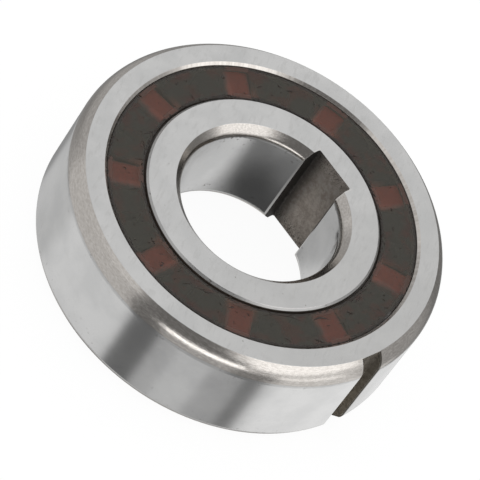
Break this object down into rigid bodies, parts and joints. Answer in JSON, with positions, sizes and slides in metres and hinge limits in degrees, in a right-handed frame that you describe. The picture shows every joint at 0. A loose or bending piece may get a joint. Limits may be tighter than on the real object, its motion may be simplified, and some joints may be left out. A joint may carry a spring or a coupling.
{
  "type": "sprag clutch",
  "caption": "One-way bearing: keyed outer and inner ring with a sprag row and a ball row between them under dark shields.",
  "frame": {"origin": "centre of the bore, half way along its length", "axes": "+Z along the bore axis out of the front face; the inner keyway points to -X and the outer keyway is 3 degrees from +Y"},
  "size_m": [0.047, 0.047, 0.014],
  "materials": {
    "ring_steel": "ground bearing steel, chamfers turned",
    "shield": "dark translucent, slightly wavy",
    "cage": "moulded, red-brown",
    "ball_steel": "polished",
    "sprag_steel": "dark, lapped",
    "spring_steel": "drawn wire"
  },
  "bodies": {
    "outer_ring": {"outer_ring": "ring_steel", "front_shield": "shield", "rear_shield": "shield"},
    "inner_ring": {"inner_ring": "ring_steel"},
    "cage": {"cage": "cage", "garter_spring": "spring_steel"},
    "ball_1": {"ball_1": "ball_steel"},
    "ball_2": {"ball_2": "ball_steel"},
    "ball_3": {"ball_3": "ball_steel"},
    "ball_4": {"ball_4": "ball_steel"},
    "ball_5": {"ball_5": "ball_steel"},
    "ball_6": {"ball_6": "ball_steel"},
    "ball_7": {"ball_7": "ball_steel"},
    "ball_8": {"ball_8": "ball_steel"},
    "ball_9": {"ball_9": "ball_steel"},
    "sprag_01": {"sprag_01": "sprag_steel"},
    "sprag_02": {"sprag_02": "sprag_steel"},
    "sprag_03": {"sprag_03": "sprag_steel"},
    "sprag_04": {"sprag_04": "sprag_steel"},
    "sprag_05": {"sprag_05": "sprag_steel"},
    "sprag_06": {"sprag_06": "sprag_steel"},
    "sprag_07": {"sprag_07": "sprag_steel"},
    "sprag_08": {"sprag_08": "sprag_steel"},
    "sprag_09": {"sprag_09": "sprag_steel"},
    "sprag_10": {"sprag_10": "sprag_steel"},
    "sprag_11": {"sprag_11": "sprag_steel"},
    "sprag_12": {"sprag_12": "sprag_steel"},
    "sprag_13": {"sprag_13": "sprag_steel"},
    "sprag_14": {"sprag_14": "sprag_steel"},
    "sprag_15": {"sprag_15": "sprag_steel"},
    "sprag_16": {"sprag_16": "sprag_steel"},
    "sprag_17": {"sprag_17": "sprag_steel"},
    "sprag_18": {"sprag_18": "sprag_steel"}
  },
  "joints": [
    {"name": "inner_ring_spin", "type": "hinge", "parent": "outer_ring", "child": "inner_ring", "pos_m": [0, 0, 0], "axis": [0, 0, 1], "range_deg": [0, 900]},
    {"name": "cage_spin", "type": "hinge", "parent": "outer_ring", "child": "cage", "pos_m": [0, 0, 0], "axis": [0, 0, 1], "range_deg": [0, 371.32]},
    {"name": "ball_1_spin", "type": "hinge", "parent": "cage", "child": "ball_1", "pos_m": [0.0159, 0.00615, 0], "axis": [0, 0, 1], "range_deg": [-2480.32, 0]},
    {"name": "ball_2_spin", "type": "hinge", "parent": "cage", "child": "ball_2", "pos_m": [0.00823, 0.01493, 0], "axis": [0, 0, 1], "range_deg": [-2480.32, 0]},
    {"name": "ball_3_spin", "type": "hinge", "parent": "cage", "child": "ball_3", "pos_m": [-0.0033, 0.01673, 0], "axis": [0, 0, 1], "range_deg": [-2480.32, 0]},
    {"name": "ball_4_spin", "type": "hinge", "parent": "cage", "child": "ball_4", "pos_m": [-0.01328, 0.0107, 0], "axis": [0, 0, 1], "range_deg": [-2480.32, 0]},
    {"name": "ball_5_spin", "type": "hinge", "parent": "cage", "child": "ball_5", "pos_m": [-0.01705, -0.00034, 0], "axis": [0, 0, 1], "range_deg": [-2480.32, 0]},
    {"name": "ball_6_spin", "type": "hinge", "parent": "cage", "child": "ball_6", "pos_m": [-0.01284, -0.01122, 0], "axis": [0, 0, 1], "range_deg": [-2480.32, 0]},
    {"name": "ball_7_spin", "type": "hinge", "parent": "cage", "child": "ball_7", "pos_m": [-0.00262, -0.01685, 0], "axis": [0, 0, 1], "range_deg": [-2480.32, 0]},
    {"name": "ball_8_spin", "type": "hinge", "parent": "cage", "child": "ball_8", "pos_m": [0.00882, -0.01459, 0], "axis": [0, 0, 1], "range_deg": [-2480.32, 0]},
    {"name": "ball_9_spin", "type": "hinge", "parent": "cage", "child": "ball_9", "pos_m": [0.01614, -0.00551, 0], "axis": [0, 0, 1], "range_deg": [-2480.32, 0]},
    {"name": "sprag_01_tilt", "type": "hinge", "parent": "cage", "child": "sprag_01", "pos_m": [0.01655, 0.0041, 0], "axis": [0, 0, 1], "range_deg": [-5, 0], "stiffness_Nm_per_rad": 0.0015},
    {"name": "sprag_02_tilt", "type": "hinge", "parent": "cage", "child": "sprag_02", "pos_m": [0.015, 0.0081, 0], "axis": [0, 0, 1], "range_deg": [-5, 0], "stiffness_Nm_per_rad": 0.0015},
    {"name": "sprag_03_tilt", "type": "hinge", "parent": "cage", "child": "sprag_03", "pos_m": [0.01004, 0.01378, 0], "axis": [0, 0, 1], "range_deg": [-5, 0], "stiffness_Nm_per_rad": 0.0015},
    {"name": "sprag_04_tilt", "type": "hinge", "parent": "cage", "child": "sprag_04", "pos_m": [0.00628, 0.01585, 0], "axis": [0, 0, 1], "range_deg": [-5, 0], "stiffness_Nm_per_rad": 0.0015},
    {"name": "sprag_05_tilt", "type": "hinge", "parent": "cage", "child": "sprag_05", "pos_m": [-0.00117, 0.01701, 0], "axis": [0, 0, 1], "range_deg": [-5, 0], "stiffness_Nm_per_rad": 0.0015},
    {"name": "sprag_06_tilt", "type": "hinge", "parent": "cage", "child": "sprag_06", "pos_m": [-0.00537, 0.01618, 0], "axis": [0, 0, 1], "range_deg": [-5, 0], "stiffness_Nm_per_rad": 0.0015},
    {"name": "sprag_07_tilt", "type": "hinge", "parent": "cage", "child": "sprag_07", "pos_m": [-0.01183, 0.01228, 0], "axis": [0, 0, 1], "range_deg": [-5, 0], "stiffness_Nm_per_rad": 0.0015},
    {"name": "sprag_08_tilt", "type": "hinge", "parent": "cage", "child": "sprag_08", "pos_m": [-0.01452, 0.00894, 0], "axis": [0, 0, 1], "range_deg": [-5, 0], "stiffness_Nm_per_rad": 0.0015},
    {"name": "sprag_09_tilt", "type": "hinge", "parent": "cage", "child": "sprag_09", "pos_m": [-0.01695, 0.0018, 0], "axis": [0, 0, 1], "range_deg": [-5, 0], "stiffness_Nm_per_rad": 0.0015},
    {"name": "sprag_10_tilt", "type": "hinge", "parent": "cage", "child": "sprag_10", "pos_m": [-0.01687, -0.00248, 0], "axis": [0, 0, 1], "range_deg": [-5, 0], "stiffness_Nm_per_rad": 0.0015},
    {"name": "sprag_11_tilt", "type": "hinge", "parent": "cage", "child": "sprag_11", "pos_m": [-0.01415, -0.00952, 0], "axis": [0, 0, 1], "range_deg": [-5, 0], "stiffness_Nm_per_rad": 0.0015},
    {"name": "sprag_12_tilt", "type": "hinge", "parent": "cage", "child": "sprag_12", "pos_m": [-0.01133, -0.01274, 0], "axis": [0, 0, 1], "range_deg": [-5, 0], "stiffness_Nm_per_rad": 0.0015},
    {"name": "sprag_13_tilt", "type": "hinge", "parent": "cage", "child": "sprag_13", "pos_m": [-0.00472, -0.01638, 0], "axis": [0, 0, 1], "range_deg": [-5, 0], "stiffness_Nm_per_rad": 0.0015},
    {"name": "sprag_14_tilt", "type": "hinge", "parent": "cage", "child": "sprag_14", "pos_m": [-0.00048, -0.01704, 0], "axis": [0, 0, 1], "range_deg": [-5, 0], "stiffness_Nm_per_rad": 0.0015},
    {"name": "sprag_15_tilt", "type": "hinge", "parent": "cage", "child": "sprag_15", "pos_m": [0.00691, -0.01558, 0], "axis": [0, 0, 1], "range_deg": [-5, 0], "stiffness_Nm_per_rad": 0.0015},
    {"name": "sprag_16_tilt", "type": "hinge", "parent": "cage", "child": "sprag_16", "pos_m": [0.01058, -0.01337, 0], "axis": [0, 0, 1], "range_deg": [-5, 0], "stiffness_Nm_per_rad": 0.0015},
    {"name": "sprag_17_tilt", "type": "hinge", "parent": "cage", "child": "sprag_17", "pos_m": [0.01531, -0.00749, 0], "axis": [0, 0, 1], "range_deg": [-5, 0], "stiffness_Nm_per_rad": 0.0015},
    {"name": "sprag_18_tilt", "type": "hinge", "parent": "cage", "child": "sprag_18", "pos_m": [0.0167, -0.00344, 0], "axis": [0, 0, 1], "range_deg": [-5, 0], "stiffness_Nm_per_rad": 0.0015}
  ],
  "couplings": [
    {"joint": "cage_spin", "follows": "inner_ring_spin", "ratio": 0.41202},
    {"joint": "ball_1_spin", "follows": "inner_ring_spin", "ratio": -2.7537},
    {"joint": "ball_2_spin", "follows": "inner_ring_spin", "ratio": -2.7537},
    {"joint": "ball_3_spin", "follows": "inner_ring_spin", "ratio": -2.7537},
    {"joint": "ball_4_spin", "follows": "inner_ring_spin", "ratio": -2.7537},
    {"joint": "ball_5_spin", "follows": "inner_ring_spin", "ratio": -2.7537},
    {"joint": "ball_6_spin", "follows": "inner_ring_spin", "ratio": -2.7537},
    {"joint": "ball_7_spin", "follows": "inner_ring_spin", "ratio": -2.7537},
    {"joint": "ball_8_spin", "follows": "inner_ring_spin", "ratio": -2.7537},
    {"joint": "ball_9_spin", "follows": "inner_ring_spin", "ratio": -2.7537},
    {"joint": "sprag_02_tilt", "follows": "sprag_01_tilt", "ratio": 1},
    {"joint": "sprag_03_tilt", "follows": "sprag_01_tilt", "ratio": 1},
    {"joint": "sprag_04_tilt", "follows": "sprag_01_tilt", "ratio": 1},
    {"joint": "sprag_05_tilt", "follows": "sprag_01_tilt", "ratio": 1},
    {"joint": "sprag_06_tilt", "follows": "sprag_01_tilt", "ratio": 1},
    {"joint": "sprag_07_tilt", "follows": "sprag_01_tilt", "ratio": 1},
    {"joint": "sprag_08_tilt", "follows": "sprag_01_tilt", "ratio": 1},
    {"joint": "sprag_09_tilt", "follows": "sprag_01_tilt", "ratio": 1},
    {"joint": "sprag_10_tilt", "follows": "sprag_01_tilt", "ratio": 1},
    {"joint": "sprag_11_tilt", "follows": "sprag_01_tilt", "ratio": 1},
    {"joint": "sprag_12_tilt", "follows": "sprag_01_tilt", "ratio": 1},
    {"joint": "sprag_13_tilt", "follows": "sprag_01_tilt", "ratio": 1},
    {"joint": "sprag_14_tilt", "follows": "sprag_01_tilt", "ratio": 1},
    {"joint": "sprag_15_tilt", "follows": "sprag_01_tilt", "ratio": 1},
    {"joint": "sprag_16_tilt", "follows": "sprag_01_tilt", "ratio": 1},
    {"joint": "sprag_17_tilt", "follows": "sprag_01_tilt", "ratio": 1},
    {"joint": "sprag_18_tilt", "follows": "sprag_01_tilt", "ratio": 1}
  ]
}
